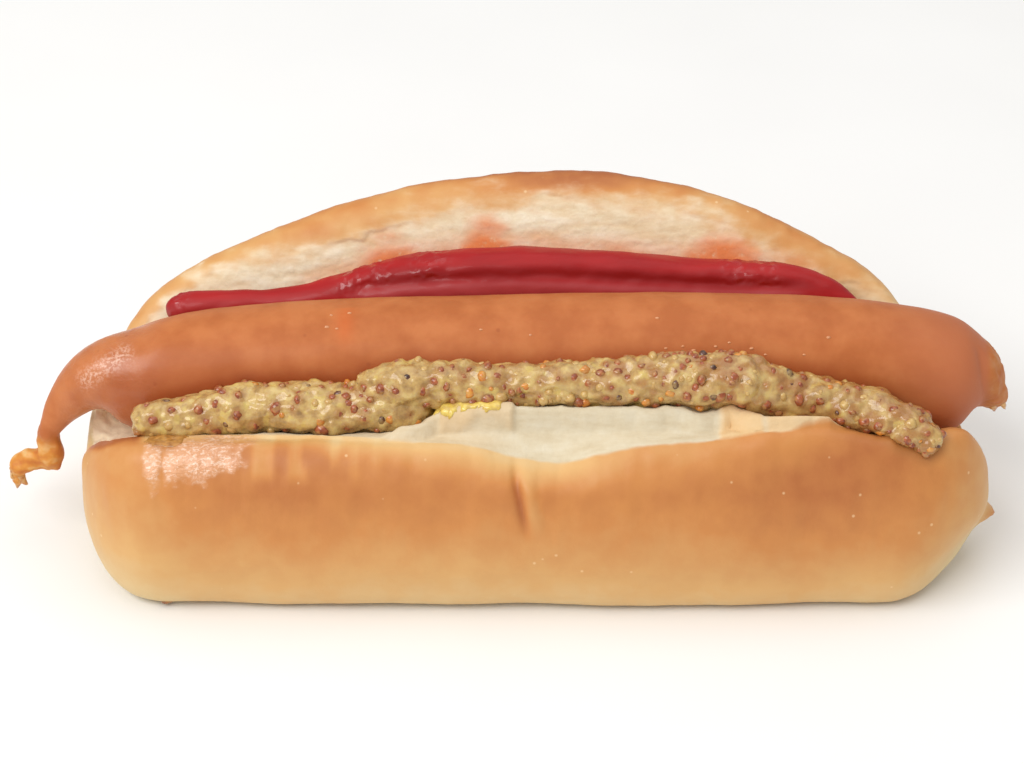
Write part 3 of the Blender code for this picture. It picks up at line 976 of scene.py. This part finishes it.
def mustard():
    skin = Surface("mustard", MUSTARD_VOXEL)
    skin.relax(9)
    skin.push(PIECE_GAP + 0.15)
    skin.relax(4)
    clefts = ridges(skin.points, 6.0, 2, 3)
    lumps = 0.6 * waves(skin.points, 4.5, 2, 1) + 0.35 * waves(skin.points, 2.0, 2, 2)
    skin.push(lumps - 0.45 * clefts**2 + 0.05)
    skin.push(0.07 * waves(skin.points, 0.95, 2, 7))
    skin.relax(1, 0.3)

    chooser = np.random.default_rng(5)
    shown, shown_away = skin.front_points([(x, z) for x, z, _ in SEEDS])
    others, others_away = scattered(skin, 8, SEED_SPACING, shown)
    places = np.concatenate([shown, others])
    away = np.concatenate([shown_away, others_away])
    kinds = [kind for _, _, kind in SEEDS]
    kinds = np.array(kinds + chooser.choice(4, len(others), p=SEED_SHARES).tolist())
    widths = chooser.uniform(1.8, 2.5, len(places))
    widths[len(SEEDS) :] = chooser.uniform(1.0, 2.1, len(others))
    sunk = chooser.uniform(0.22, 0.38, len(places)) * widths
    places = places - sunk[:, None] * away

    tree = kdtree.KDTree(len(places))
    for i, place in enumerate(places.tolist()):
        tree.insert(place, i)
    tree.balance()
    found = [tree.find(p) for p in skin.points.tolist()]
    nearby = [f[1] for f in found]
    gap = np.array([f[2] for f in found]) - widths[nearby] / 2
    covering = smooth_step(0.3, -0.5, gap) * smooth_step(0.2, 0.5, waves(skin.points, 1.3, 2, 6))
    skin.push(0.3 * covering - 0.12 * smooth_step(0.0, -0.3, gap))
    browned = smooth_step(0.6, 0.0, gap) * (kinds[nearby] == BROWN)
    x = skin.points[:, 0]
    smudges = smooth_step(0.0, 0.4, waves(skin.points, 3.2, 2, 4)) * smooth_step(-40.0, 20.0, x)
    browner = 0.16 * smooth_step(0.0, 40.0, x)
    skin.paint("stained", np.clip(0.55 * browned + 0.6 * smudges + browner, 0.0, 0.85))
    skin.show("mustard_bead", mustard_look(), "mustard")

    for kind, (name, low, high) in enumerate(SEED_COLOURS):
        chosen = kinds == kind
        shapes = widths[chosen, None] * chooser.uniform(0.7, 1.15, (chosen.sum(), 3))
        hull = wet_look(name + "_hull", low, high, 0.4)
        grains(name + "_seeds", places[chosen], shapes, hull, 20 + kind, dent=0.22)
    return skin.points


# ---- studio ----

CAMERA_AIM = (-4.6, 0.0, 29.3)
CAMERA_DISTANCE = 474.0
CAMERA_ELEVATION = math.radians(33.0)
CAMERA_LENS = 100.0


def camera():
    made = bpy.data.objects.new("camera", bpy.data.cameras.new("camera"))
    back = Vector((0.0, -math.cos(CAMERA_ELEVATION), math.sin(CAMERA_ELEVATION)))
    made.location = MM * (Vector(CAMERA_AIM) + CAMERA_DISTANCE * back)
    made.rotation_euler = back.to_track_quat("Z", "Y").to_euler()
    made.data.lens = CAMERA_LENS
    made.data.clip_start = 0.01
    bpy.context.collection.objects.link(made)
    bpy.context.scene.camera = made


def soft_box(name, direction, distance, width, height, radiance):
    """A flat lamp that faces the food. Its direction and distance are from the middle of the food."""
    made = bpy.data.objects.new(name, bpy.data.lights.new(name, "AREA"))
    towards = Vector(direction).normalized()
    made.location = MM * (Vector(CAMERA_AIM) + distance * towards)
    made.rotation_euler = towards.to_track_quat("Z", "Y").to_euler()
    made.data.shape = "RECTANGLE"
    made.data.size = MM * width
    made.data.size_y = MM * height
    made.data.energy = radiance * math.pi * MM * width * MM * height
    bpy.context.collection.objects.link(made)


def studio():
    world = bpy.data.worlds.new("studio")
    world.use_nodes = True
    sky = world.node_tree.nodes["Background"]
    sky.inputs["Color"].default_value = rgb(252, 250, 247)
    sky.inputs["Strength"].default_value = 0.55
    bpy.context.scene.world = world
    soft_box("key", (-0.50, -0.46, 0.73), 900.0, 860.0, 400.0, 4.9)
    soft_box("top", (0.15, 0.1, 1.0), 900.0, 900.0, 900.0, 1.05)

    look = Look("floor_paper", Roughness=0.9)
    paper = look.ramp(look.noise(60.0, 2.0), (0.3, rgb(243, 243, 242)), (0.7, rgb(246, 246, 245)))
    look.set("Base Color", paper)
    maker = bmesh.new()
    bmesh.ops.create_grid(maker, x_segments=4, y_segments=4, size=MM * 3000.0)
    mesh = bpy.data.meshes.new("floor")
    maker.to_mesh(mesh)
    maker.free()
    mesh.materials.append(look.material)
    floor = bpy.data.objects.new("floor", mesh)
    bpy.context.collection.objects.link(floor)
    bpy.context.scene.view_settings.view_transform = "Standard"


camera()
studio()
mustard_points = mustard()
bun(ketchup(), mustard_points)
sausage(mustard_points)
